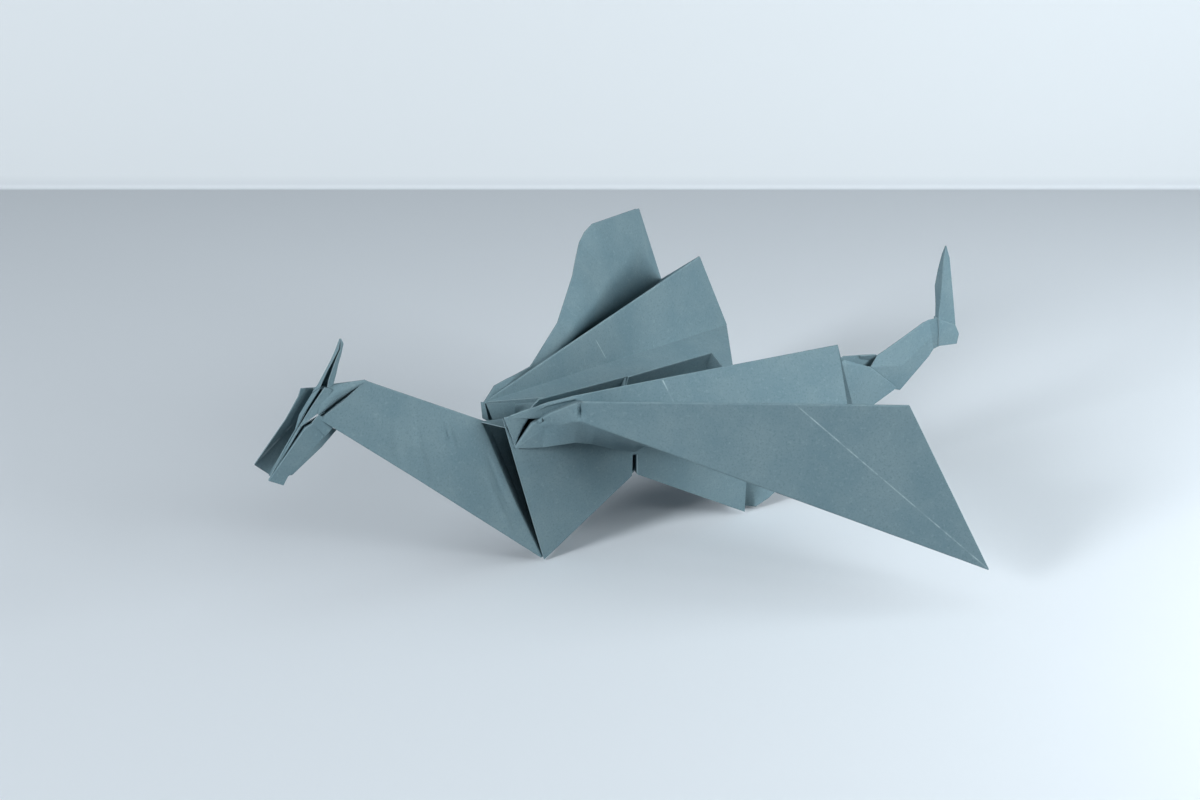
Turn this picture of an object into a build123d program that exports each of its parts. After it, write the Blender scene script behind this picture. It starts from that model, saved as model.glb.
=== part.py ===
from build123d import *
import math
import os

# A dragon folded from one square sheet of coloured paper. It is a bird base with
# pleated wings, a neck and a tail reverse-folded out of the legs, a head opened
# into leaves round a horn, and a tail crimped in three.
# X runs out along the near wing, Y from head to tail, Z up from the table.
# Lengths are in millimetres and angles in degrees. Reach is measured from the chest.

# The sheet, and the packets of layers that its panels are folded into
sheet_side = 210.0
packet = 0.5
fold_radius = 0.29

# Body: two sides that stand on four leg corners, under a low hump
shoulder_width = 11.0
shoulder_height = 38.2
shoulder_lead = 10.0
foot_length = 56.0
foot_spread = 9.0
crotch_height = 17.0
crotch_reach = 24.8
slit_height = 5.7
slit_gap = 0.8
hip_reach = 58.0
hip_height = 31.0
hump_front = 1.0
hump_back = 48.0
hump_height = 42.7

# Creases of the wing, as angles at the shoulder from the leading edge
first_ridge_angle = 22.5
first_valley_angle = 39.0
second_ridge_angle = 53.0
hinge_angle = 67.5

# Sweep back and lift of each fold, on the near wing and on the raised far wing
near_tip_set = (52.7, -17.1)
near_first_ridge_set = (52.2, 3.3)
near_first_valley_set = (64.4, -3.0)
near_second_ridge_set = (74.0, 8.4)
near_hinge_set = (77.4, -5.1)
far_tip_set = (52.6, -7.0)
far_first_ridge_set = (53.9, 17.4)
far_first_valley_set = (59.2, 2.0)
far_second_ridge_set = (69.2, 12.1)
far_hinge_set = (71.8, -1.8)
far_knee_set = (55.5, 14.0)
far_knee_length = 36.0
far_curl_set = (52.7, 20.0)
far_curl_length = 50.0
far_bend_set = (50.7, 22.6)
far_bend_length = 66.0
near_tip_blunting = 2.2
wing_root_rise = 3.7
wing_root_back = 2.2

# The tuck under each wing root, and the crumple in the near one
tuck_front_drop = 7.8
tuck_length = 37.0
tuck_end_drop = 15.6
tuck_share = 0.3
crumple_low_share = 0.14
crumple_top_share = 0.17
crumple_knee = (8.0, 6.1, -1.6)
crumple_crest = (11.0, 8.9, 1.6)
crumple_fold = (9.0, 7.8, -2.9)

# Neck. From here on a run is a distance along Y and a rise along Z, from the corner named before it.
nape_reach = 40.0
nape_height = 50.6
throat_run = 11.3
throat_drop = 5.7

# Head, forward from the nape, the throat and the crown
crown_run = 7.5
crown_rise = 0.5
brow_run = 6.2
brow_drop = 0.9
brow_spread = 4.8
jaw_run = 2.8
jaw_drop = 0.3
jaw_spread = 5.2
snout_run = 10.2
snout_drop = 10.4
snout_spread = 8.2
cheek_back = 3.1
cheek_drop = 2.2
gill_out = 1.0
lip_back = 1.4
lip_drop = 1.6
horn_back = 2.3
horn_rise = 10.0
horn_foot_run = 2.7
horn_foot_drop = 0.3
horn_foot_spread = 2.0

# Tail, in three lengths: back from the rump, the cuff, the second length and the elbow
cuff_run = 36.4
cuff_rise = 33.1
dip_run = 8.8
dip_rise = 1.2
step_run = 2.4
step_drop = 12.5
cuff_heel_run = 10.2
cuff_heel_drop = 9.1
second_start_run = 0.6
second_start_drop = 6.1
second_top_run = 4.8
second_top_drop = 0.2
bend_run = 13.8
bend_rise = 6.7
elbow_run = 5.0
elbow_rise = 1.1
elbow_low_run = 1.5
elbow_low_drop = 7.9
heel_run = 6.4
heel_drop = 8.6
elbow_back_run = 5.5
elbow_back_drop = 2.9
tail_end_run = 0.8
tail_end_rise = 19.2
tail_front_run = 1.8
tail_front_rise = 8.9
tail_back_run = 2.8
tail_back_rise = 15.2
tail_spread = 2.4

tip_angle = 45.0
half_diagonal = sheet_side / math.sqrt(2)
leading_edge = half_diagonal / (math.cos(math.radians(tip_angle / 2)) + math.sin(math.radians(tip_angle / 2)))


def fold_length(angle):
    """Length of the crease that leaves the shoulder at this angle from the leading edge."""
    return leading_edge * math.sin(math.radians(tip_angle)) / math.sin(math.radians(180 - tip_angle - angle))


def along(root, side, direction, length):
    """End of a fold that leaves its root swept back and lifted, on one side of the body."""
    sweep, lift = (math.radians(angle) for angle in direction)
    level = length * math.cos(lift)
    return root + Vector(side * level * math.cos(sweep), level * math.sin(sweep), length * math.sin(lift))


def middle(reach, height):
    """Point in the middle plane of the body."""
    return Vector(0, reach, height)


def beyond(corner, run, rise, spread=0):
    """Point a run back from a corner and a rise above it, half a spread out on the near side."""
    return Vector(spread / 2, corner.Y + run, corner.Z + rise)


def in_plane(first, second, third, reach, height):
    """Point at this reach and height in the plane of three others."""
    normal = (second - first).cross(third - first)
    offset = normal.Y * (reach - first.Y) + normal.Z * (height - first.Z)
    return Vector(first.X - offset / normal.X, reach, height)


def far(corner):
    """The same corner on the far side of the middle plane."""
    return Vector(-corner.X, corner.Y, corner.Z)


def far_side(panels):
    """The same panels on the far side of the middle plane."""
    return [tuple(far(corner) for corner in corners) for corners in panels]


def panel(corners):
    """One flat panel of the folded sheet, from its corners in order."""
    across = corners[1] - corners[0]
    face_plane = Plane(origin=corners[0], x_dir=across, z_dir=across.cross(corners[2] - corners[0]))
    local = [face_plane.to_local_coords(corner) for corner in corners]
    with BuildSketch(face_plane) as outline:
        with BuildLine():
            Polyline(*[(corner.X, corner.Y) for corner in local], close=True)
        make_face()
    return extrude(outline.sketch, amount=packet / 2, both=True, mode=Mode.PRIVATE)


def crease(start, end):
    """The round of paper along one fold."""
    with BuildSketch(Plane(origin=start, z_dir=end - start)) as section:
        Circle(fold_radius)
    return extrude(section.sketch, amount=(end - start).length, mode=Mode.PRIVATE)


def shared_edges(panels):
    """Edges along which two panels meet, which are the folds between them."""
    found = {}
    for corners in panels:
        for start, end in zip(corners, corners[1:] + corners[:1]):
            ends = frozenset(tuple(round(value, 6) for value in corner) for corner in (start, end))
            found.setdefault(ends, []).append((start, end))
    return [edges[0] for edges in found.values() if len(edges) > 1]


def folded(panels):
    """Panels with the creases that join them."""
    return [panel(corners) for corners in panels] + [crease(*ends) for ends in shared_edges(panels)]


# Corners of the near side of the body. The far side is its mirror image.
shoulder = Vector(shoulder_width / 2, -shoulder_lead, shoulder_height)
chest = Vector(foot_spread / 2, 0, 0)
rump = Vector(foot_spread / 2, foot_length, 0)
hip = in_plane(shoulder, chest, rump, hip_reach, hip_height)
front_crotch = in_plane(shoulder, chest, rump, crotch_reach - slit_gap / 2, crotch_height)
rear_crotch = in_plane(shoulder, chest, rump, crotch_reach + slit_gap / 2, crotch_height)
slit_top = in_plane(shoulder, chest, rump, crotch_reach, crotch_height + slit_height)
fork = middle(crotch_reach, crotch_height)
hump_start = middle(hump_front, shoulder_height)
hump_end = middle(hump_back, hump_height)

body_side = [
    (shoulder, chest, front_crotch, slit_top, rear_crotch, rump, hip),
    (chest, front_crotch, fork),
    (rump, rear_crotch, fork),
    (shoulder, hump_start, hump_end),
    (shoulder, hump_end, hip),
]

# The neck and the first length of the tail run up from the creases under the legs.
nape = middle(-nape_reach, nape_height)
throat = in_plane(fork, chest, nape, -nape_reach - throat_run, nape_height - throat_drop)
neck_side = [(chest, fork, nape, throat)]

cuff = beyond(rump, cuff_run, cuff_rise)
dip = in_plane(fork, rump, cuff, foot_length + dip_run, dip_rise)
step = in_plane(fork, rump, cuff, cuff.Y + step_run, cuff.Z - step_drop)
cuff_heel = in_plane(fork, rump, cuff, cuff.Y + cuff_heel_run, cuff.Z - cuff_heel_drop)
second_start = beyond(cuff, second_start_run, -second_start_drop, tail_spread)
second_top = beyond(cuff, second_top_run, -second_top_drop)
bend = beyond(second_top, bend_run, bend_rise)
elbow = beyond(bend, elbow_run, elbow_rise)
elbow_low = beyond(elbow, elbow_low_run, -elbow_low_drop, tail_spread)
heel = beyond(elbow, heel_run, -heel_drop, tail_spread)
elbow_back = beyond(elbow, elbow_back_run, -elbow_back_drop)
tail_end = beyond(elbow, tail_end_run, tail_end_rise)
tail_front = beyond(elbow, -tail_front_run, tail_front_rise, -tail_spread)
tail_back = beyond(elbow, tail_back_run, tail_back_rise, -tail_spread)
tail_side = [
    (fork, rump, dip, step, cuff_heel, cuff),
    (second_top, second_start, cuff_heel),
    (second_top, cuff_heel, elbow_low),
    (second_top, elbow_low, bend),
    (bend, elbow_low, elbow),
    (elbow, elbow_low, heel),
    (elbow, heel, elbow_back),
]
tail_point = [
    (elbow, tail_end, tail_front),
    (elbow, tail_end, tail_back),
    (elbow, tail_back, elbow_back),
]

# Head: a crown over two jaws, with the point of the sheet up through them as a horn.
crown = beyond(nape, -crown_run, crown_rise)
near_jaw = beyond(throat, -jaw_run, -jaw_drop, jaw_spread)
near_snout = beyond(near_jaw, -snout_run, -snout_drop, snout_spread)
near_cheek = near_snout + Vector(0, cheek_back, -cheek_drop)
near_gill = throat + Vector(gill_out, cheek_back, -cheek_drop)
far_brow = beyond(crown, -brow_run, -brow_drop, -brow_spread)
lip = beyond(near_snout, lip_back, -lip_drop)
near_horn_foot = beyond(crown, -horn_foot_run, -horn_foot_drop, horn_foot_spread)
horn = beyond(crown, horn_back, horn_rise)
head = [
    (nape, crown, throat),
    (crown, near_horn_foot, throat),
    (throat, near_horn_foot, near_jaw),
    (near_horn_foot, near_jaw, near_snout),
    (throat, near_jaw, near_snout),
    (throat, near_snout, near_cheek),
    (throat, near_cheek, near_gill),
    (nape, crown, far(throat)),
    (crown, far_brow, far(throat)),
    (far_brow, far(near_jaw), far(throat)),
    (far_brow, far(near_jaw), far(near_snout)),
    (far(near_jaw), far(near_snout), lip),
    (far(near_jaw), lip, far(near_horn_foot)),
    (horn, crown, far(near_horn_foot)),
    (horn, crown, near_horn_foot),
    (crown, far(near_horn_foot), lip),
    (crown, near_horn_foot, lip),
]

# Wings: pleats fanned from the shoulder, the far wing raised and bent over at its first ridge.
root_step = Vector(0, wing_root_back, wing_root_rise)
near_root = shoulder + root_step
near_tip = along(near_root, 1, near_tip_set, leading_edge - near_tip_blunting)
near_first_ridge = along(near_root, 1, near_first_ridge_set, fold_length(first_ridge_angle))
near_first_valley = along(shoulder, 1, near_first_valley_set, fold_length(first_valley_angle))
near_second_ridge = along(shoulder, 1, near_second_ridge_set, fold_length(second_ridge_angle))
near_hinge = along(shoulder, 1, near_hinge_set, fold_length(hinge_angle))
tuck_front = shoulder + (chest - shoulder) * (tuck_front_drop / shoulder_height)
tuck_end = in_plane(shoulder, chest, rump, tuck_length - shoulder_lead, shoulder_height - tuck_end_drop)
near_tuck = near_root + (near_tip - near_root) * tuck_share
near_crease_low = near_root + (near_tip - near_root) * crumple_low_share
near_crease_top = near_root + (near_first_ridge - near_root) * crumple_top_share
knee = Vector(*crumple_knee) + Vector(0, -shoulder_lead, shoulder_height)
crest = Vector(*crumple_crest) + Vector(0, -shoulder_lead, shoulder_height)
fold = Vector(*crumple_fold) + Vector(0, -shoulder_lead, shoulder_height)
near_wing = [
    (near_crease_top, near_first_ridge, near_tip, near_crease_low),
    (near_crease_top, near_first_ridge, near_first_valley),
    (shoulder, near_crease_top, near_first_valley),
    (shoulder, near_first_valley, near_second_ridge),
    (shoulder, near_second_ridge, near_hinge),
    (shoulder, near_hinge, hip),
    (shoulder, crest, near_crease_top),
    (shoulder, knee, crest),
    (shoulder, tuck_front, knee),
    (crest, near_crease_top, near_crease_low),
    (knee, crest, near_crease_low),
    (knee, fold, near_crease_low),
    (tuck_front, knee, fold),
    (tuck_front, fold, near_crease_low),
    (tuck_front, near_crease_low, tuck_end),
    (near_crease_low, near_tuck, tuck_end),
]

far_shoulder = far(shoulder)
far_tip = along(far_shoulder, -1, far_tip_set, leading_edge)
far_first_ridge = along(far_shoulder, -1, far_first_ridge_set, fold_length(first_ridge_angle))
far_knee = along(far_shoulder, -1, far_knee_set, far_knee_length)
far_curl = along(far_shoulder, -1, far_curl_set, far_curl_length)
far_bend = along(far_shoulder, -1, far_bend_set, far_bend_length)
far_first_valley = along(far_shoulder, -1, far_first_valley_set, fold_length(first_valley_angle))
far_second_ridge = along(far_shoulder, -1, far_second_ridge_set, fold_length(second_ridge_angle))
far_hinge = along(far_shoulder, -1, far_hinge_set, fold_length(hinge_angle))
far_tuck = far_shoulder + (far_tip - far_shoulder) * tuck_share
far_wing = [
    (far_shoulder, far_knee, far_tip),
    (far_knee, far_curl, far_tip),
    (far_curl, far_bend, far_tip),
    (far_bend, far_first_ridge, far_tip),
    (far_shoulder, far_knee, far_first_valley),
    (far_knee, far_curl, far_first_valley),
    (far_curl, far_bend, far_first_valley),
    (far_bend, far_first_ridge, far_first_valley),
    (far_shoulder, far_first_valley, far_second_ridge),
    (far_shoulder, far_second_ridge, far_hinge),
    (far_shoulder, far_hinge, far(hip)),
    (far_shoulder, far(tuck_front), far_tuck),
    (far(tuck_front), far_tuck, far(tuck_end)),
]

with BuildPart() as sheet:
    add(folded(body_side + far_side(body_side) + neck_side + far_side(neck_side)))
    add(folded(tail_side + far_side(tail_side) + tail_point))
    add(folded(head))
    add(folded(near_wing))
    add(folded(far_wing))

# The frame's origin is on the table, under the middle of the dragon.
bounds = sheet.part.bounding_box()
stand = Location((-bounds.center().X, -bounds.center().Y, -bounds.min.Z))
with BuildPart() as folded_sheet:
    add(sheet.part.moved(stand))

folded_sheet.part.label = "folded_sheet"
os.makedirs("parts", exist_ok=True)
export_step(folded_sheet.part, "parts/folded_sheet.step")
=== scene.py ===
import math

import bpy
import numpy as np
from mathutils import Matrix, Vector


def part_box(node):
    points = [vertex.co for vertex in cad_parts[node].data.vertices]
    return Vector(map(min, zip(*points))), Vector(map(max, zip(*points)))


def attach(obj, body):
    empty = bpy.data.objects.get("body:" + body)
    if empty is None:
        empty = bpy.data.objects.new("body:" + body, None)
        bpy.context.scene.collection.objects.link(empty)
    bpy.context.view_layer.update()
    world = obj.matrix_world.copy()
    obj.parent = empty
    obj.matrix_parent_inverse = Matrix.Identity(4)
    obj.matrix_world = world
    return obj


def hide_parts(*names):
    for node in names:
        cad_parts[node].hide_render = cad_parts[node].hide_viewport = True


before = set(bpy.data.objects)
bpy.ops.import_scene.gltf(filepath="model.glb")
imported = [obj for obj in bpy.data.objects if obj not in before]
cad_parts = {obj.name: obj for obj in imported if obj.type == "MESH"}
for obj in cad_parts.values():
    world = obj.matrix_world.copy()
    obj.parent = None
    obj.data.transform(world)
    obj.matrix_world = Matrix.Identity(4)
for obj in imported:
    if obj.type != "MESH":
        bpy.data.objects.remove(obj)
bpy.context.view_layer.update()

# Body of the dragon
# Two sloping sides of the folded base stand on four leg corners, each with a slit up its middle. A low hump
# with a nick in its edge, and the inner layers and pockets of the sheet, lie between them. It is several
# layers of 120 gram paper, creased by hand.
foot_from_low_corner = np.array([74.27, 64.51, 0.25])
chest_foot = 1000 * np.array(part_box("folded_sheet")[0]) + foot_from_low_corner


def across_sheet(corners, bend, columns):
    """Points across each row of a pleated sheet, how far across they lie in panels, and how sharp a fold is.

    Panels are straight between corners. Near an inner corner C the section is the quadratic curve
    (1-t)^2 A + 2t(1-t) C + t^2 B, where A and B lie on the two panels at the bending distance from C, or
    at the largest share of a panel if that is nearer. Sharpness is (flat cosine - cosine of the turn at C)
    divided by the cosine span, from 0 to 1.
    """
    largest_share = 0.35
    flat_cosine, cosine_span = 0.92, 0.4
    arc_points, arc_place = 9, 0.001
    rim_step = 0.01
    tiny = 1e-9
    before, fold, after = corners[:, :-2], corners[:, 1:-1], corners[:, 2:]
    back = before - fold
    ahead = after - fold
    back_length = np.linalg.norm(back, axis=2, keepdims=True) + tiny
    ahead_length = np.linalg.norm(ahead, axis=2, keepdims=True) + tiny
    start = fold + back * np.minimum(bend / back_length, largest_share)
    end = fold + ahead * np.minimum(bend / ahead_length, largest_share)
    turn = -np.sum(back * ahead, axis=2) / (back_length * ahead_length)[:, :, 0]
    sharp = np.clip((flat_cosine - turn) / cosine_span, 0, 1)
    t = np.linspace(0, 1, arc_points)[None, None, :, None]
    arcs = (1 - t) ** 2 * start[:, :, None] + 2 * t * (1 - t) * fold[:, :, None] + t ** 2 * end[:, :, None]
    middle = (4 * t * (1 - t))[0, 0, :, 0]
    firsts = np.concatenate([corners[:, :1], end], axis=1)
    lasts = np.concatenate([start, corners[:, -1:]], axis=1)
    panels = corners.shape[1] - 1
    pieces, places, wear = [], [], []
    for k in range(panels):
        s = np.arange(1, columns) / columns
        if k == 0:
            s = np.concatenate([[0, rim_step], s])
        if k == panels - 1:
            s = np.concatenate([s, [1 - rim_step, 1]])
        pieces.append(firsts[:, k, None] + (lasts[:, k] - firsts[:, k])[:, None] * s[None, :, None])
        places.append(k + s)
        wear.append(np.zeros((len(corners), len(s))))
        if k < panels - 1:
            pieces.append(arcs[:, k])
            places.append(k + 1 + np.linspace(-arc_place, arc_place, arc_points))
            wear.append(sharp[:, k, None] * middle[None])
    return np.concatenate(pieces, axis=1), np.concatenate(places), np.concatenate(wear, axis=1)


def sheet_normals(grid):
    """Unit normals of a grid: the cross product of its differences along both ways."""
    tiny = 1e-12
    normal = np.cross(np.gradient(grid, axis=0), np.gradient(grid, axis=1))
    normal[0] = normal[1]
    normal[-1] = normal[-2]
    return normal / (np.linalg.norm(normal, axis=2, keepdims=True) + tiny)


def folded_paper(name, lines, thickness, rows, columns, bend=0.3, sag=(), dents=()):
    """A packet of paper pleated along fold lines, as a closed shell.

    Each line lists corners (share, x, y, z) in millimetres from the foot of the chest, and a row joins the
    points at one share of all lines. Sag lifts panel k by its amount times 4s(1-s) sin(pi u). A dent
    (panel place, share, half-widths, height) adds height times exp(-(d/w)^2) in both ways. The shell is
    the grid moved half the thickness along its normals each way, with a rim of quads.
    """
    rim_rows = [0.004, 0.996]
    crisp_fold = math.radians(24)
    shares = [np.linspace(0, 1, rows), rim_rows, *[[corner[0] for corner in line] for line in lines]]
    u = np.unique(np.round(np.concatenate(shares), 5))
    tables = [np.array(line, float) for line in lines]
    corners = np.stack([np.stack([np.interp(u, line[:, 0], line[:, axis]) for axis in (1, 2, 3)], axis=1)
                        for line in tables], axis=1)
    grid, place, wear = across_sheet(corners, bend, columns)
    lift = np.zeros(grid.shape[:2])
    for k, amount in sag:
        s = np.clip(place - k, 0, 1)
        lift += amount * 4 * (s * (1 - s))[None, :] * np.sin(math.pi * u)[:, None]
    for centre, share, wide, long, height in dents:
        across_dent = np.exp(-((place - centre) / wide) ** 2)
        along_dent = np.exp(-((u - share) / long) ** 2)
        lift += height * across_dent[None, :] * along_dent[:, None]
    normal = sheet_normals(grid)
    grid = grid + normal * lift[:, :, None]
    normal = sheet_normals(grid)
    high = grid + normal * thickness / 2
    low = grid - normal * thickness / 2
    verts = (np.concatenate([high.reshape(-1, 3), low.reshape(-1, 3)]) + chest_foot) / 1000
    index = np.arange(grid.shape[0] * grid.shape[1]).reshape(grid.shape[:2])
    top = np.stack([index[:-1, :-1], index[1:, :-1], index[1:, 1:], index[:-1, 1:]], axis=-1).reshape(-1, 4)
    bottom = top[:, ::-1] + index.size
    loop = np.concatenate([index[0, :-1], index[:-1, -1], index[-1, :0:-1], index[:0:-1, 0]])
    ahead = np.roll(loop, -1)
    rim = np.stack([loop, ahead, ahead + index.size, loop + index.size], axis=-1)
    faces = np.concatenate([top, bottom, rim])
    mesh = bpy.data.meshes.new(name)
    mesh.from_pydata(verts.tolist(), [], faces.tolist())
    on_rim = np.concatenate([np.zeros(len(top) * 2), np.ones(len(rim))])
    mesh.attributes.new("cut", "FLOAT", "FACE").data.foreach_set("value", on_rim.astype(np.float32))
    on_folds = np.tile(wear.reshape(-1), 2)
    mesh.attributes.new("worn", "FLOAT", "POINT").data.foreach_set("value", on_folds.astype(np.float32))
    mesh.shade_smooth()
    mesh.set_sharp_from_angle(angle=crisp_fold)
    mesh.update()
    piece = bpy.data.objects.new(name, mesh)
    bpy.context.scene.collection.objects.link(piece)
    piece.data.materials.append(paper)
    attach(piece, "root")
    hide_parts("folded_sheet")


def vector_math(nodes, links, operation, first, second):
    """Vector operation on an output and a constant, as its vector and number outputs."""
    node = nodes.new("ShaderNodeVectorMath")
    node.operation = operation
    links.new(first, node.inputs[0])
    node.inputs[1].default_value = second.tolist()
    return node.outputs


def number_math(nodes, links, operation, first, second):
    """Operation on an output and a second output or number."""
    node = nodes.new("ShaderNodeMath")
    node.operation = operation
    links.new(first, node.inputs[0])
    if isinstance(second, bpy.types.NodeSocket):
        links.new(second, node.inputs[1])
    else:
        node.inputs[1].default_value = second
    return node.outputs[0]


def ranged(nodes, links, value, low, high, out_low, out_high):
    """Value mapped in a straight line from low..high to out_low..out_high, and held at the ends."""
    node = nodes.new("ShaderNodeMapRange")
    for socket, number in zip(node.inputs[1:5], (low, high, out_low, out_high)):
        socket.default_value = number
    links.new(value, node.inputs[0])
    return node.outputs[0]


def crease_mask(nodes, links, position, start, end, normal, width):
    """Node output that is 1 on a crease drawn in a panel from start to end, and 0 off it.

    The distance in the panel is |(P - A) . s| with s across the crease and along the panel, and the mask
    falls from 1 at a quarter of the width to 0 at the width. It counts where (P - A) . d / |B - A| lies
    from 0 to 1 and |(P - A) . n| is under the panel's depth.
    """
    panel_depth = 0.0025
    a = (np.array(start) + chest_foot) / 1000
    along = (np.array(end) - np.array(start)) / 1000
    length = np.linalg.norm(along)
    flat = np.array(normal) / np.linalg.norm(normal)
    flat = flat - along * (flat @ along) / length ** 2
    flat = flat / np.linalg.norm(flat)
    across = np.cross(flat, along / length)
    offset = vector_math(nodes, links, "SUBTRACT", position, a)[0]
    side = vector_math(nodes, links, "DOT_PRODUCT", offset, across)[1]
    side = number_math(nodes, links, "ABSOLUTE", side, 0)
    depth = vector_math(nodes, links, "DOT_PRODUCT", offset, flat)[1]
    depth = number_math(nodes, links, "ABSOLUTE", depth, 0)
    share = vector_math(nodes, links, "DOT_PRODUCT", offset, along / length ** 2)[1]
    from_middle = number_math(nodes, links, "SUBTRACT", share, 0.5)
    from_middle = number_math(nodes, links, "ABSOLUTE", from_middle, 0)
    in_panel = number_math(nodes, links, "LESS_THAN", depth, panel_depth)
    in_length = number_math(nodes, links, "LESS_THAN", from_middle, 0.5)
    mask = ranged(nodes, links, side, width / 1000, width / 4000, 0, 1)
    mask = number_math(nodes, links, "MULTIPLY", mask, in_panel)
    return number_math(nodes, links, "MULTIPLY", mask, in_length)


def mixed(nodes, links, kind, first, second, factor):
    """Colour mix of two inputs, each a colour or an output, by a factor or an output."""
    factor_socket, first_socket, second_socket, colour_output = 0, 6, 7, 2
    node = nodes.new("ShaderNodeMix")
    node.data_type = "RGBA"
    node.blend_type = kind
    for value, number in ((factor, factor_socket), (first, first_socket), (second, second_socket)):
        if isinstance(value, bpy.types.NodeSocket):
            links.new(value, node.inputs[number])
        else:
            node.inputs[number].default_value = value
    return node.outputs[colour_output]


def noise(nodes, links, position, scale, detail, rough):
    """Noise texture in object coordinates, with scale times per metre, as its factor output."""
    node = nodes.new("ShaderNodeTexNoise")
    node.inputs["Scale"].default_value = scale
    node.inputs["Detail"].default_value = detail
    node.inputs["Roughness"].default_value = rough
    links.new(position, node.inputs["Vector"])
    return node.outputs[0]


# Colours of the paper, and of its folds and edges where the blue-grey is rubbed or cut
dark_mottle = (0.151, 0.245, 0.286, 1)
light_mottle = (0.185, 0.278, 0.314, 1)
dark_grain = (0.127, 0.210, 0.247, 1)
pale_fibre = (0.232, 0.336, 0.373, 1)
rubbed_fold = (0.36, 0.48, 0.52, 1)
old_crease = (0.42, 0.54, 0.58, 1)
cut_edge = (0.25, 0.35, 0.39, 1)

paper = bpy.data.materials.new("blue-grey craft paper")
paper.use_nodes = True
nodes, links = paper.node_tree.nodes, paper.node_tree.links
surface = nodes["Principled BSDF"]
position = nodes.new("ShaderNodeTexCoord").outputs["Object"]
mottle = noise(nodes, links, position, scale=90, detail=4, rough=0.6)
grain = noise(nodes, links, position, scale=2300, detail=2, rough=0.6)
fibre = noise(nodes, links, position, scale=1100, detail=4, rough=0.7)
cloud = ranged(nodes, links, mottle, 0.35, 0.65, 0, 1)
colour = mixed(nodes, links, "MIX", dark_mottle, light_mottle, cloud)
colour = mixed(nodes, links, "MIX", colour, dark_grain, ranged(nodes, links, grain, 0.5, 0.72, 0, 0.75))
colour = mixed(nodes, links, "MIX", colour, pale_fibre, ranged(nodes, links, fibre, 0.56, 0.74, 0, 0.72))
worn = nodes.new("ShaderNodeAttribute")
worn.attribute_name = "worn"
cut = nodes.new("ShaderNodeAttribute")
cut.attribute_name = "cut"
patches = noise(nodes, links, position, scale=380, detail=3, rough=0.6)
patchy = ranged(nodes, links, patches, 0.38, 0.64, 0.12, 0.85)

# Old creases left in the panels: start, end, the panel's normal and the width, in millimetres. They lie
# across the near wing's front pleat, on its second pleat, on the far wing and down the far jaw.
crease_lines = [
    ((44.2, 41.4, 45.9), (70.3, 76.8, 9.4), (0.79, -0.61, -0.03), 0.2),
    ((15.4, 25.1, 44.4), (19.1, 26.2, 40.3), (0.78, -0.28, 0.55), 0.22),
    ((-18.5, 25.6, 43.5), (-18.4, 28.4, 38.2), (0.93, 0.31, 0.18), 0.13),
    ((-2.6, -54.6, 43.9), (-4.0, -64.6, 34.4), (0.82, -0.43, 0.37), 0.2),
]
creases = [crease_mask(nodes, links, position, *line) for line in crease_lines]
marks = creases[0]
for mask in creases[1:]:
    marks = number_math(nodes, links, "MAXIMUM", marks, mask)
marked = number_math(nodes, links, "MULTIPLY", marks, patchy)
rubbing = noise(nodes, links, position, scale=260, detail=3, rough=0.6)
rub = ranged(nodes, links, rubbing, 0.35, 0.7, 0.0, 0.2)
edge_wear = number_math(nodes, links, "MULTIPLY", worn.outputs["Fac"], rub)
colour = mixed(nodes, links, "MIX", colour, rubbed_fold, edge_wear)
colour = mixed(nodes, links, "MIX", colour, old_crease, marked)
colour = mixed(nodes, links, "MIX", colour, cut_edge, cut.outputs["Fac"])
links.new(colour, surface.inputs["Base Color"])
surface.inputs["Roughness"].default_value = 0.85
surface.inputs["Specular IOR Level"].default_value = 0.3
fibre_height = 0.00006
bump = nodes.new("ShaderNodeBump")
bump.inputs["Strength"].default_value = 0.5
bump.inputs["Distance"].default_value = fibre_height
links.new(fibre, bump.inputs["Height"])
links.new(bump.outputs[0], surface.inputs["Normal"])

folded_paper("near_body_side", [
    # Lower edge, up into the arch and round the slit
    [(0, 4.5, -0.1, 0.1), (0.430, 4.9, 23.1, 17), (0.434, 5.0, 23.2, 22.4), (0.446, 5.0, 24.5, 22.4),
     (0.450, 4.9, 24.6, 17), (1, 4.5, 55.6, 0.2)],
    # Top edge, lower under the wing's root
    [(0, 5.0, -10.2, 38.0), (0.03, 5.0, -8.2, 33.0), (0.06, 5.0, -6.3, 29.8),
     (0.277, 5.0, 8.0, 29.8), (0.33, 5.05, 11.5, 36.0), (0.430, 5.1, 23.1, 34.9),
     (0.450, 5.1, 24.6, 34.7), (1, 5.2, 55.6, 31)],
], thickness=0.45, rows=60, columns=20)
folded_paper("near_body_inner_layer", [
    [(0, 4.0, 1.2, 1.2), (1, 4.3, 22.6, 17.4)],
    [(0, 4.2, -7.0, 29.5), (1, 4.4, 21.8, 29.0)],
], thickness=0.3, rows=30, columns=12)
folded_paper("slit_edges", [
    # Front lip
    [(0, 4.8, 23.1, 17.2), (1, 4.9, 23.2, 22.6)],
    # Depth of the slit
    [(0, 1.5, 25.4, 17.2), (1, 1.5, 25.4, 22.6)],
    # Rear lip
    [(0, 4.8, 24.6, 17.2), (1, 4.9, 24.5, 22.6)],
], thickness=0.2, bend=0.15, rows=8, columns=8)
folded_paper("far_body_side", [
    # Lower edge, up into the arch and round the slit
    [(0, -4.5, 0, 0.1), (0.430, -4.9, 24.2, 17), (0.434, -5.0, 24.4, 23.6),
     (0.446, -5.0, 25.0, 23.6), (0.450, -4.9, 25.2, 17), (1, -4.5, 56, 0.1)],
    # Top edge
    [(0, -5.5, -10, 38.2), (0.430, -5.42, 24.2, 34.6), (0.450, -5.42, 25.2, 34.5), (1, -5.31, 58, 31)],
], thickness=0.45, rows=60, columns=20)
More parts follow.
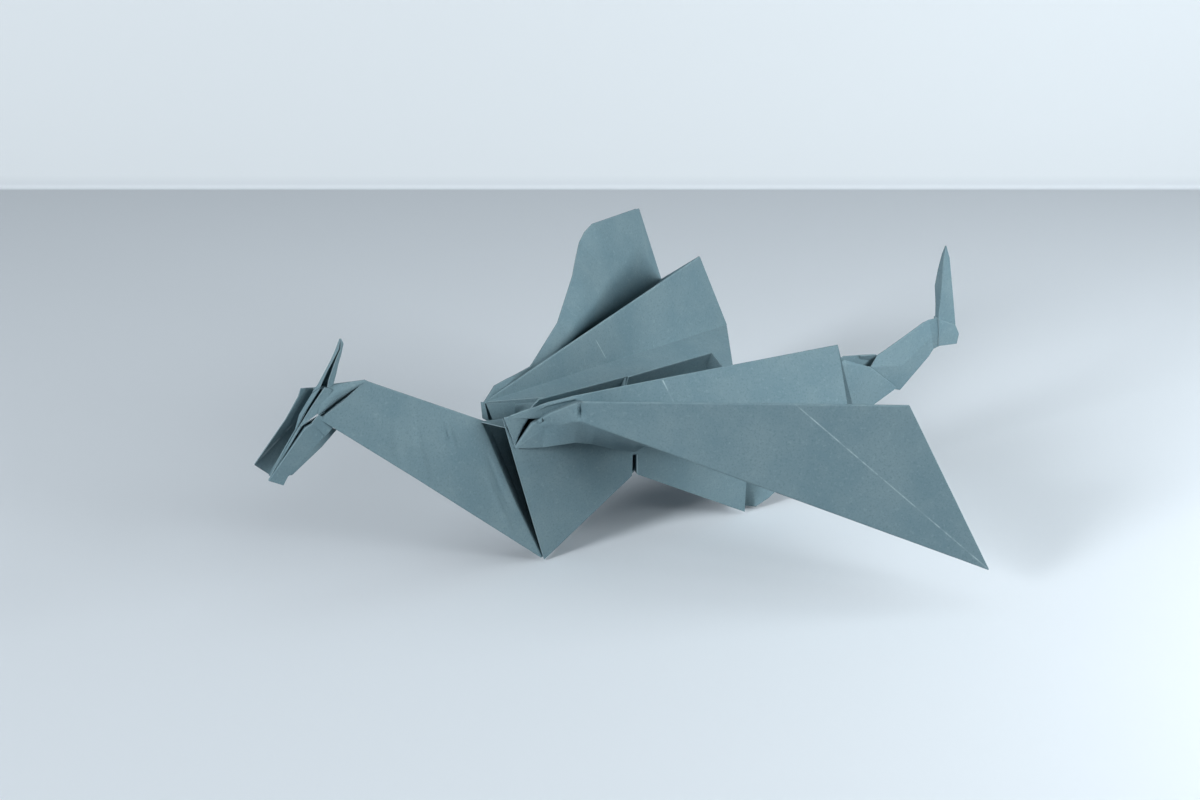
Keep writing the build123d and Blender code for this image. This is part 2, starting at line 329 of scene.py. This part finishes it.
folded_paper("hump", [
    # Lower edge of the near face, turned inwards
    [(0, -3.2, -0.9, 33.5), (1, -3.6, 49.0, 34.5)],
    # Crest, with its nick
    [(0, 1.5, -0.9, 38.2), (0.03, 1.5, 0.6, 39.4), (0.483, 1.5, 23.0, 41.0), (0.49, 1.0, 23.4, 37.8),
     (0.498, 1.5, 24.0, 40.8), (0.95, 1.5, 46.6, 43.0), (1, 1.5, 49.6, 39.0)],
    # Crest on the far side
    [(0, 1.0, -0.7, 38.0), (0.03, 1.0, 0.8, 39.0), (0.483, 1.0, 23.2, 40.6), (0.95, 1.0, 46.8, 42.6),
     (1, 1.0, 49.8, 38.8)],
    # Far edge
    [(0, -4.8, 0.1, 31.0), (1, -4.8, 51.4, 31.5)],
], thickness=0.35, bend=0.2, rows=60, columns=10)
folded_paper("body_top", [
    [(0, 4.7, -6, 29), (1, 4.7, 54, 28.8)],
    [(0, -3, -0.9, 33.2), (1, -3.4, 49, 34.2)],
    [(0, -5.1, -9.5, 37.2), (1, -5.1, 56.5, 30.6)],
], thickness=0.3, rows=20, columns=8)
folded_paper("inner_rear_layer", [
    [(0, 4.5, 40, 9.8), (1, 4.7, 40, 29.2)],
    [(0, -4.7, 38, 9.8), (1, -4.9, 38, 31)],
], thickness=0.3, rows=10, columns=8)
folded_paper("far_shoulder_layer", [
    [(0, -2.8, -8.8, 34), (1, -3.4, -3.4, 33.6)],
    [(0, -3.2, -10.5, 38.7), (1, -3.6, -3, 37.4)],
], thickness=0.2, rows=12, columns=8)
folded_paper("far_shoulder_fold", [
    [(0, -2.7, -11.7, 35.5), (1, -2.5, -10.4, 34.6)],
    [(0, -3.2, -11.8, 39.4), (1, -3.2, -10.9, 39.1)],
], thickness=0.2, rows=10, columns=6)
folded_paper("far_shoulder_pocket", [
    # Front lip
    [(0, -2.6, -10.4, 34.5), (1, -3.2, -10.9, 39)],
    # Depth of the pocket
    [(0, -4.8, -9, 33.5), (1, -4.4, -10.1, 38.4)],
    # Rear lip
    [(0, -2.9, -8.8, 33.9), (1, -3.3, -10.4, 38.6)],
], thickness=0.15, rows=10, columns=6)

# Neck
# A long reverse-folded point comes up from the chest between the body's sides. Its top is one fold, its
# lower edges are open, and it has soft buckles where it was bent by hand. Its root turns inwards under a
# small flap, and the sheet runs across between the sides as a gusset.
folded_paper("neck", [
    # Near lower edge
    [(0, 2, -51.5, 44.5), (0.28, 2.6, -31.1, 27), (0.86, 4.4, -0.9, 0.7), (0.89, 3.2, 1.4, 0.6),
     (1, 0.4, 5.0, 1.0)],
    # Middle of the near side
    [(0, 1.1, -45.8, 47.3), (0.86, 2.9, -6.3, 14.6), (0.89, 0.8, -3.8, 13.6), (1, -1.6, 2.0, 12.5)],
    # Top fold
    [(0, 0, -40.3, 50.8), (0.86, 0, -13.4, 36.4), (0.89, -2.0, -10.9, 34.6), (1, -3.0, -5.0, 31.0)],
    # Middle of the far side
    [(0, -0.95, -46.3, 48.1), (0.86, -2.9, -6.3, 14.6), (0.89, -3.2, -3.6, 13.6), (1, -3.8, 2.0, 12.5)],
    # Far lower edge
    [(0, -1.74, -51.4, 45.8), (0.86, -4.4, -0.9, 0.7), (0.9, -4.2, 1.2, 0.6), (1, -3.8, 5.0, 1.0)],
], thickness=0.4, bend=0.35, rows=110, columns=20, dents=(
    (1.55, 0.55, 0.16, 0.012, -0.30), (1.62, 0.575, 0.20, 0.014, 0.25), (0.9, 0.36, 0.5, 0.016, 0.36),
    (0.55, 0.24, 0.5, 0.016, -0.34), (0.6, 0.74, 0.5, 0.02, 0.25), (1.2, 0.80, 0.3, 0.02, -0.2)))
folded_paper("neck_root_cover", [
    [(0, 0.0, -13.6, 36.0), (1, 4.7, -9.5, 35.5)],
    [(0, -3.0, -2.0, 34.0), (1, 3.4, 0.0, 33.0)],
], thickness=0.14, rows=12, columns=8)
folded_paper("front_gusset", [
    [(0, 4.1, 1.4, 1.0), (1, 4.3, 24.4, 18)],
    [(0, -4.1, 1.4, 1.0), (1, -4.3, 24.8, 18)],
], thickness=0.4, rows=12, columns=12)

# Head
# The neck's point is folded down and opened into two ridged jaws with leaves and tucks between them, and
# the tip of the sheet comes back up as a thin horn, open along one side. It is all the same paper, with
# no cut made for it.
folded_paper("near_jaw", [
    # Inner edge
    [(0, 1.2, -51.4, 44.9), (0.3, 1.8, -55.5, 43.9), (1, 3.3, -63.8, 33.4)],
    # Valley beside it
    [(0, -0.6, -50.8, 43.9), (0.3, -0.2, -54.6, 42.8), (1, 2.6, -63.6, 33.2)],
    # Ridge
    [(0, 2.1, -51.4, 44.7), (0.3, 2.5, -54.9, 43.3), (1, 4, -64.2, 33.6)],
    # Lower edge
    [(0, 1.7, -49.6, 43.4), (0.3, 1.8, -50.6, 40.6), (0.9, 3.2, -59.8, 33.3), (1, 3.6, -61, 31.7)],
], thickness=0.22, bend=0.12, rows=30, columns=10)
folded_paper("cheek_tuck", [
    [(0, 0.9, -53.4, 44.1), (1, 0.9, -50, 45.5)],
    [(0, -1.5, -52, 42.5), (1, -1.5, -49.6, 43.2)],
], thickness=0.14, rows=8, columns=6)
folded_paper("near_cheek_corner", [
    [(0, 2.1, -51.6, 45.7), (1, 1.75, -48.4, 42.2)],
    [(0, 2.3, -53.4, 44.2), (1, 1.9, -50.6, 40.4)],
], thickness=0.25, rows=8, columns=8)
folded_paper("crown", [
    # Near lower edge
    [(0, 1.9, -51.8, 45.7), (0.5, 1.4, -47.5, 48.3), (1, 0.1, -39.8, 50.6)],
    # Near edge of the top
    [(0, 0.5, -50.0, 50.7), (0.5, 0.3, -46.9, 51.0), (1, 0, -40.2, 50.8)],
    # Far edge of the top
    [(0, -1.0, -51.5, 50.7), (0.5, -0.6, -47.5, 51.0), (1, -0.1, -40.2, 50.8)],
    # Far lower edge
    [(0, -1.9, -51.4, 45.9), (1, -0.1, -40.4, 50.5)],
], thickness=0.2, bend=0.25, rows=24, columns=10, sag=((0, 0.5),))
folded_paper("crown_tuck", [
    # Upper lip
    [(0, 1.8, -51.7, 45.6), (0.5, 1.3, -47.5, 48.2), (1, 0.1, -39.8, 50.6)],
    # Depth of the tuck
    [(0, -1, -50.7, 43.8), (0.5, -1.2, -46.5, 46.3), (1, -0.3, -39.7, 50.4)],
    # Lower lip
    [(0, 1.8, -51.4, 44.5), (0.5, 1.1, -47.3, 46.6), (1, 0, -39.8, 50.4)],
], thickness=0.14, bend=0.15, rows=20, columns=6)
folded_paper("near_brow_leaf", [
    # Front edge
    [(0, 1.2, -49.6, 51.2), (0.25, 1.4, -53.1, 47.2), (0.45, 1.8, -56.4, 43.2),
     (0.7, 2.4, -59.6, 39.3), (1, 3.4, -64, 33.6)],
    # Rear edge
    [(0, 1.2, -48.1, 50.4), (0.25, 1.6, -51.7, 45.8), (0.45, 2, -55.8, 43.7), (0.7, 2.5, -59, 39.4),
     (1, 3.3, -63.8, 33.4)],
], thickness=0.2, rows=30, columns=6)
folded_paper("near_cheek_under_layer", [
    [(0, 0.8, -48.9, 41.7), (0.5, 1.3, -54.2, 38.1), (1, 2.7, -59.9, 33.4)],
    [(0, -1.2, -46.9, 40.1), (0.45, -1, -50.6, 36.8), (1, 1.4, -58.3, 32.7)],
], thickness=0.15, rows=12, columns=6)
folded_paper("far_jaw", [
    # Inner edge
    [(0, -1, -54.3, 51.1), (0.12, -1.2, -54.9, 49.3), (0.4, -1.6, -57.9, 44.5),
     (0.93, -3.4, -64.3, 35.5), (1, -3.9, -64.8, 34.5)],
    # Fold down its middle
    [(0, -1.9, -50.8, 50.4), (0.35, -2.7, -54.4, 44), (1, -4, -64.8, 34.3)],
    # Outer edge
    [(0, -3.2, -49.9, 49.5), (0.35, -3.8, -53.5, 42.7), (1, -4.6, -60.8, 30.4)],
], thickness=0.2, bend=0.15, rows=30, columns=8)
folded_paper("far_crown", [
    [(0, -1.6, -54, 50.8), (1, -1.2, -50.5, 50.6)],
    [(0, -3.4, -53.4, 48.3), (1, -2.8, -50.1, 47.9)],
], thickness=0.2, rows=12, columns=8)
folded_paper("far_horn_leaf", [
    # Far edge
    [(0, 2.2, -63.6, 34.1), (0.56, -0.2, -56.4, 42.2), (0.73, -0.3, -55.2, 45.5), (1, 0.1, -52.2, 50)],
    # Near edge
    [(0, 2.5, -63.3, 33.8), (0.56, 0.2, -56.1, 42.7), (0.73, 0.4, -54.6, 45.5), (1, 0.8, -50.5, 51.2)],
], thickness=0.2, rows=40, columns=6)
folded_paper("brow_slit", [
    # Front lip
    [(0, 0.8, -50.5, 51.3), (0.5, 0.5, -53.6, 46.9), (1, 0.2, -56.1, 42.7)],
    # Depth of the slit
    [(0, -2, -49, 50.1), (0.5, -2, -52.3, 45.8), (1, -1.4, -55.5, 41.9)],
    # Rear lip
    [(0, 1.1, -49.6, 51.2), (0.5, 1.3, -53, 47.2), (1, 1.7, -56.3, 43.1)],
], thickness=0.14, bend=0.15, rows=20, columns=6)
folded_paper("horn", [
    # Front edge of its slit
    [(0, 0.9, -50.6, 51.3), (0.2, 0.9, -49.9, 52.7), (0.45, 0.8, -48.7, 54.8), (0.7, 0.7, -47.2, 57),
     (0.88, 0.5, -45.8, 59), (1, 0.3, -45.3, 61.2)],
    # Front fold
    [(0, 0.1, -52.2, 50.1), (0.2, 0.1, -50.8, 51.7), (0.45, 0.1, -49.3, 54), (0.7, 0.1, -47.7, 56.5),
     (0.88, 0.1, -46.4, 59), (1, 0.1, -45.4, 61.2)],
    # Far fold
    [(0, -1.7, -49.2, 50.2), (0.45, -1.4, -47.4, 53.7), (0.88, -0.6, -45.3, 58.4), (1, -0.1, -45.1, 61)],
    # Rear fold
    [(0, 0.1, -47.4, 51.1), (0.2, 0.1, -46.7, 53.2), (0.45, 0.1, -46, 55.6), (0.7, 0.1, -45.2, 57.8),
     (0.88, 0.1, -44.6, 60), (1, 0.1, -45.1, 61.2)],
    # Rear edge of its slit
    [(0, 0.9, -49, 51), (0.2, 0.9, -48.7, 52.4), (0.45, 0.8, -47.8, 54.4), (0.7, 0.7, -46.7, 56.8),
     (0.88, 0.5, -45.5, 58.9), (1, 0.3, -45.2, 61.1)],
], thickness=0.16, bend=0.15, rows=40, columns=6)

# Tail
# The hind point is reverse-folded up between the body's sides, then crimped twice: a cuff holds the second
# length, and an elbow turns the last length straight up. The sheet runs across at its root as a gusset.
folded_paper("tail_first_length", [
    # Near lower edge
    [(0, 1.2, 53.4, 4.0), (0.05, 1.4, 56.0, 0.8), (0.1, 3.8, 59.4, 0.5), (0.2, 4.2, 62.6, 2.2),
     (0.84, 2.3, 94.4, 20.4), (1, 1.5, 102.8, 23.7)],
    # Middle of the near side
    [(0, -0.6, 42.0, 15.0), (0.06, 0.4, 50.0, 15.0), (0.1, 1.2, 57.0, 16.5), (0.2, 1.6, 62.0, 20.0),
     (0.8, 1.0, 87.1, 33.0), (0.9, 1.1, 94.4, 30.9), (1, 1.4, 102.9, 24.0)],
    # Top fold
    [(0, -1.4, 36.0, 18.0), (0.06, -0.4, 44.0, 22.0), (0.2, 0, 52.0, 24.2), (0.78, 0.2, 87, 33.7),
     (0.88, 0.6, 92.1, 31.7), (1, 1.3, 102.6, 23.8)],
], thickness=0.4, bend=0.3, rows=70, columns=14)
folded_paper("tail_first_length_far", [
    # Far lower edge
    [(0, -4.4, 56.4, 0.2), (0.2, -4.2, 62.6, 2.2), (0.84, -2.3, 94.8, 20.6), (1, -2.1, 102.6, 24)],
    # Top edge
    [(0, -1.0, 44.0, 22.0), (0.2, -0.2, 52.0, 24.2), (0.8, -0.3, 87, 34.6), (0.9, -0.8, 93.6, 33.7),
     (1, -1.2, 97.4, 33.1)],
], thickness=0.4, bend=0.3, rows=50, columns=14)
folded_paper("cuff_hollow", [
    [(0, 0.1, 92, 34), (1, 0.1, 97, 33.5)],
    [(0, -2.6, 93.9, 29.8), (1, -2.6, 99.1, 28.7)],
], thickness=0.15, rows=10, columns=6)
folded_paper("rear_gusset", [
    [(0, 4.1, 54.6, 1.0), (1, 4.3, 25.2, 18)],
    [(0, -4.1, 54.6, 1.0), (1, -4.3, 24.8, 18)],
], thickness=0.4, rows=12, columns=12)
folded_paper("tail_second_length", [
    # Near lower edge
    [(0, 0.4, 95.0, 25.5), (0.40, 1.2, 104.4, 22.9), (0.82, 1.1, 113.0, 30.6),
     (0.9, 0.5, 114.9, 32.2), (1, 1.3, 117.2, 33.3)],
    # Middle of the near side
    [(0, 0.9, 94.8, 30.8), (0.40, 1.3, 104.5, 29.6), (0.82, 1.2, 112.2, 35.2),
     (0.9, 0.5, 114.0, 36.2), (1, 1.3, 116.6, 37.4)],
    # Top fold
    [(0, 0, 97.3, 33.1), (0.40, 0, 103.5, 36.0), (0.82, 0, 111.4, 39.8), (0.9, -0.2, 113.4, 40.2),
     (1, 0.6, 116.0, 40.6)],
    # Far lower edge
    [(0, -1.2, 95.0, 25.5), (0.40, -1.2, 104.4, 22.9), (1, -1.2, 117.5, 32.8)],
], thickness=0.38, bend=0.3, rows=50, columns=12)
folded_paper("tail_elbow", [
    # Near lower edge
    [(0, 1.3, 116.0, 33.1), (0.85, 1.2, 121.9, 32.7), (1, 1.0, 122.2, 33.4)],
    # Middle of the near side
    [(0, 1.3, 115.8, 36.6), (0.85, 1.2, 121.6, 35.2), (1, 1.0, 122.6, 35.3)],
    # Near edge of the top
    [(0, 1.0, 115.6, 40.3), (0.85, 1.0, 120.8, 38.0), (1, 0.6, 121.6, 37.4)],
    # Far edge of the top
    [(0, -0.8, 115.6, 40.6), (0.85, -0.8, 120.6, 38.4), (1, -0.4, 121.8, 37.6)],
    # Far lower edge
    [(0, -1.2, 116.6, 32.8), (0.85, -1.2, 122.0, 32.3), (1, -0.8, 122.6, 35.0)],
], thickness=0.38, bend=0.25, rows=24, columns=8)
folded_paper("tail_point", [
    # Front edge
    [(0, -0.5, 115.8, 40.3), (0.2, -0.9, 115.9, 44.0), (0.45, -1.4, 115.6, 48.8),
     (0.68, -1.4, 116.2, 53.0), (0.9, -0.8, 116.7, 57.4), (1, -0.1, 117.0, 59.6)],
    # Ridge of the near side
    [(0, 0.7, 115.8, 40.2), (0.4, 0.8, 116.0, 48.2), (0.84, 0.1, 116.5, 56.0), (1, 0, 116.9, 59.6)],
    # Rear fold
    [(0, -0.5, 122.6, 37.0), (0.4, -0.8, 121.1, 45.9), (0.84, -0.6, 118.9, 56.0), (1, -0.1, 117.1, 59.4)],
    # Far edge
    [(0, -1.4, 118.6, 38.2), (0.4, -1.7, 118.6, 46.5), (0.84, -1.2, 117.8, 55.0), (1, -0.2, 117.0, 59.2)],
], thickness=0.3, bend=0.2, rows=34, columns=8)

# Near wing
# The lowered wing is a fan of pleats from the shoulder, several layers each. The front pleat is hemmed
# under along the leading edge. Its root was crushed into a ridge, a deep groove and small dents.
folded_paper("near_wing", [
    # Free edge of the hem under the front pleat
    [(0, 5.4, -7.2, 30.3), (0.055, 7.4, -1.3, 30.2), (0.065, 7.8, -0.9, 30.3), (0.14, 11, 4.9, 31.5),
     (0.2, 11, 9.2, 30.3), (0.24, 9, 16, 27), (0.27, 6.4, 23, 23.9), (0.28, 6.4, 23.4, 23.9),
     (0.34, 14, 24, 29.5), (0.94, 64, 73.6, 12.4), (1, 68, 75.6, 10.4)],
    # Leading edge
    [(0, 5.4, -7.3, 30.4), (0.055, 8.3, -2.0, 34.9), (0.065, 8.5, -1.4, 35.2),
     (0.14, 14.2, 2.9, 38.2), (0.165, 15.0, 3.6, 38.2), (0.18, 16.0, 5.4, 37.9),
     (1, 70.6, 77.2, 8.9)],
    # First ridge
    [(0, 5.3, -7.3, 30.5), (0.055, 7.6, -4.0, 36.4), (0.11, 10.5, -0.6, 39.4),
     (0.172, 15.0, 4.3, 42.8), (1, 59.3, 60.8, 47.0)],
    # Bottom of the first valley, a deep groove at its root
    [(0, 5.2, -7.2, 30.6), (0.02, 2, -4.5, 31.6), (0.055, -2.2, -0.5, 33.4), (0.11, -3, 4.5, 35.4),
     (0.172, -1, 10, 37), (0.24, 8.5, 13.5, 35.8), (1, 37.6, 62, 33.8)],
    # Rear lip of that groove
    [(0, 5.35, -7.5, 31.2), (0.02, 5.4, -6.6, 33.3), (0.035, 5.7, -5.6, 35.6),
     (0.055, 6.1, -4.2, 37.7), (0.11, 8.2, -0.7, 40.4), (0.172, 10.3, 5.3, 41.7),
     (0.24, 11.5, 11.5, 39.1), (1, 36.6, 62.3, 35.2)],
    # Second ridge
    [(0, 5.5, -10.0, 38.2), (0.055, 6.3, -6.4, 39.3), (0.11, 7.9, -0.4, 41.0),
     (0.172, 10.0, 5.7, 42.3), (0.24, 11.6, 11.5, 43.1), (1, 26.2, 65.4, 49.6)],
    # Second valley
    [(0, 5.4, -9.9, 38.0), (0.172, 8.4, 4.0, 36.8), (1, 24.0, 73.0, 30.6)],
    # Joint with the body's side
    [(0, 5.3, -9.8, 37.8), (1, 5.31, 58.0, 31.0)],
], thickness=0.4, bend=0.3, rows=130, columns=24, dents=(
    (1.5, 0.172, 0.40, 0.006, -1.3), (1.85, 0.074, 0.25, 0.007, -1.1)))

# Far wing
# The raised wing has the same pleats of the same sheet. Its first pleat was rolled up and bent over, so
# that its front panel is cupped and turns towards the middle.
folded_paper("far_wing", [
    # Free edge of the hem under the front pleat
    [(0, -5.4, -7.3, 30.4), (0.1, -5.4, 8.2, 28.7), (0.3, -5.4, 27, 22.6), (0.36, -20.0, 30.0, 30.0),
     (1, -69.5, 79.2, 27.0)],
    # Leading edge
    [(0, -5.5, -9.4, 36.0), (1, -74.0, 79.7, 24.3)],
    # First ridge, bent over
    [(0, -5.5, -10, 38.2), (0.03, -7.8, -6.2, 40.9), (0.22, -14.8, 6.3, 41.0),
     (0.41, -25.3, 18.8, 46.9), (0.575, -34, 27.4, 55.3), (0.66, -38.1, 30.3, 57.9),
     (0.72, -42.0, 33.4, 61.0), (0.755, -43.6, 35.7, 63.0), (0.79, -44.9, 38.6, 64.5),
     (0.83, -46.9, 42.6, 64.4), (0.97, -53.2, 55.9, 64.3), (1, -58, 59.4, 62.9)],
    # First valley
    [(0, -5.5, -9.9, 38.0), (0.97, -51.6, 60.3, 41.8), (1, -57.1, 66.2, 42.1)],
    # Second ridge
    [(0, -5.5, -10, 38.2), (1, -33.6, 64.0, 55.2)],
    # Second valley
    [(0, -5.4, -9.9, 38.0), (1, -32.7, 72.3, 35.5)],
    # Joint with the body's side
    [(0, -5.3, -9.8, 37.8), (1, -5.31, 58.0, 31.0)],
], thickness=0.4, bend=0.3, rows=130, columns=24, sag=((2, -3.5),))

# Floor and light
# A plain pale table with a pale wall behind it, joined by a small cove and seen from their fronts only, so
# that nothing hides the dragon from behind. Broad soft light falls from the right, the left and above.
camera_azimuth = math.radians(62.2)
camera_elevation = math.radians(21.5)
to_camera = np.array([
    math.sin(camera_azimuth) * math.cos(camera_elevation),
    -math.cos(camera_azimuth) * math.cos(camera_elevation),
    math.sin(camera_elevation),
])
sideways = np.array([math.cos(camera_azimuth), math.sin(camera_azimuth), 0])
camera_up = np.cross(to_camera, sideways)
away = -np.array([math.sin(camera_azimuth), -math.cos(camera_azimuth), 0])
straight_up = np.array([0, 0, 1.0])

# The section of table, cove and wall in metres, swept straight along the wall
table_front, table_back, wall_top = -2.5, 0.331, 2.5
cove = 0.002
cove_points = 24
sides = np.array([-3.0, 3.0])
bend_angle = np.linspace(0, math.pi / 2, cove_points)
cove_reach = table_back + cove * np.sin(bend_angle)
cove_rise = cove * (1 - np.cos(bend_angle))
reach = np.concatenate([[table_front, table_back], cove_reach, [table_back + cove]])
rise = np.concatenate([[0, 0], cove_rise, [wall_top]])
section = away * reach[:, None, None] + straight_up * rise[:, None, None]
points = section + sideways * sides[None, :, None]
index = np.arange(len(reach) * 2).reshape(-1, 2)
strips = np.stack([index[:-1, 0], index[:-1, 1], index[1:, 1], index[1:, 0]], axis=-1)
floor_mesh = bpy.data.meshes.new("table_and_wall")
floor_mesh.from_pydata(points.reshape(-1, 3).tolist(), [], strips.tolist())
floor_mesh.shade_smooth()
floor = bpy.data.objects.new("table_and_wall", floor_mesh)
bpy.context.scene.collection.objects.link(floor)

# Pale board, darker in the light that it throws back on the paper, and clear from behind
table_white = (0.76, 0.82, 0.87, 1)
wall_white = (0.84, 0.90, 0.94, 1)
thrown_back = (0.30, 0.32, 0.34, 1)
pale = bpy.data.materials.new("pale table")
pale.use_nodes = True
table_nodes, table_links = pale.node_tree.nodes, pale.node_tree.links
board_surface = table_nodes["Principled BSDF"]
seen = table_nodes.new("ShaderNodeLightPath").outputs["Is Camera Ray"]
apart = table_nodes.new("ShaderNodeSeparateXYZ")
table_links.new(table_nodes.new("ShaderNodeTexCoord").outputs["Object"], apart.inputs[0])
upright = ranged(table_nodes, table_links, apart.outputs["Z"], 0.001, 0.006, 0, 1)
board = mixed(table_nodes, table_links, "MIX", table_white, wall_white, upright)
shade = mixed(table_nodes, table_links, "MIX", thrown_back, board, seen)
table_links.new(shade, board_surface.inputs["Base Color"])
board_surface.inputs["Roughness"].default_value = 0.9
board_surface.inputs["Specular IOR Level"].default_value = 0.1
one_sided = table_nodes.new("ShaderNodeMixShader")
table_links.new(table_nodes.new("ShaderNodeNewGeometry").outputs["Backfacing"], one_sided.inputs[0])
table_links.new(board_surface.outputs[0], one_sided.inputs[1])
table_links.new(table_nodes.new("ShaderNodeBsdfTransparent").outputs[0], one_sided.inputs[2])
table_links.new(one_sided.outputs[0], table_nodes["Material Output"].inputs["Surface"])
floor.data.materials.append(pale)


def soft_light(name, direction, distance, size, power, tint):
    """Square area lamp whose place is the unit vector of a direction times a distance, facing the dragon."""
    lamp = bpy.data.lights.new(name, "AREA")
    lamp.shape = "SQUARE"
    lamp.size = size
    lamp.energy = power
    lamp.color = tint
    light = bpy.data.objects.new(name, lamp)
    place = np.array(direction) / np.linalg.norm(direction) * distance
    light.location = place.tolist()
    light.rotation_euler = (-Vector(place.tolist())).to_track_quat("-Z", "Y").to_euler()
    bpy.context.scene.collection.objects.link(light)


soft_light("right_window", (0.50, 0.75, 0.42), distance=0.5, size=0.25, power=1.2, tint=(0.94, 0.98, 1.0))
soft_light("tail_window", (0.786, 0.560, 0.265), distance=0.34, size=0.1, power=0.32, tint=(0.94, 0.98, 1.0))
soft_light("near_window", (0.80, 0.35, 0.48), distance=1.0, size=0.3, power=1.8, tint=(0.95, 0.98, 1.0))
soft_light("left_window", (0.25, -0.885, 0.39), distance=1.2, size=0.3, power=10.7, tint=(0.96, 0.98, 1.0))
soft_light("ceiling", (0.05, 0.05, 1.0), distance=1.2, size=1.0, power=3.0, tint=(0.95, 0.98, 1.0))

world = bpy.data.worlds.new("studio")
world.use_nodes = True
bpy.context.scene.world = world
sky = world.node_tree.nodes["Background"]
sky.inputs["Color"].default_value = (0.86, 0.93, 1.0, 1)
sky.inputs["Strength"].default_value = 0.04

# The camera stands at a place in millimetres from the foot of the chest
camera_from_foot = np.array([321.5, -152.3, 178.8])
camera_data = bpy.data.cameras.new("camera")
camera_data.lens = 50
camera_data.sensor_width = 36
camera_data.clip_start = 0.01
camera = bpy.data.objects.new("camera", camera_data)
turn = Matrix((sideways.tolist(), camera_up.tolist(), to_camera.tolist())).transposed()
camera_place = (camera_from_foot + chest_foot) / 1000
camera.matrix_world = Matrix.Translation(camera_place.tolist()) @ turn.to_4x4()
bpy.context.scene.collection.objects.link(camera)
bpy.context.scene.camera = camera
bpy.context.scene.view_settings.view_transform = "Standard"
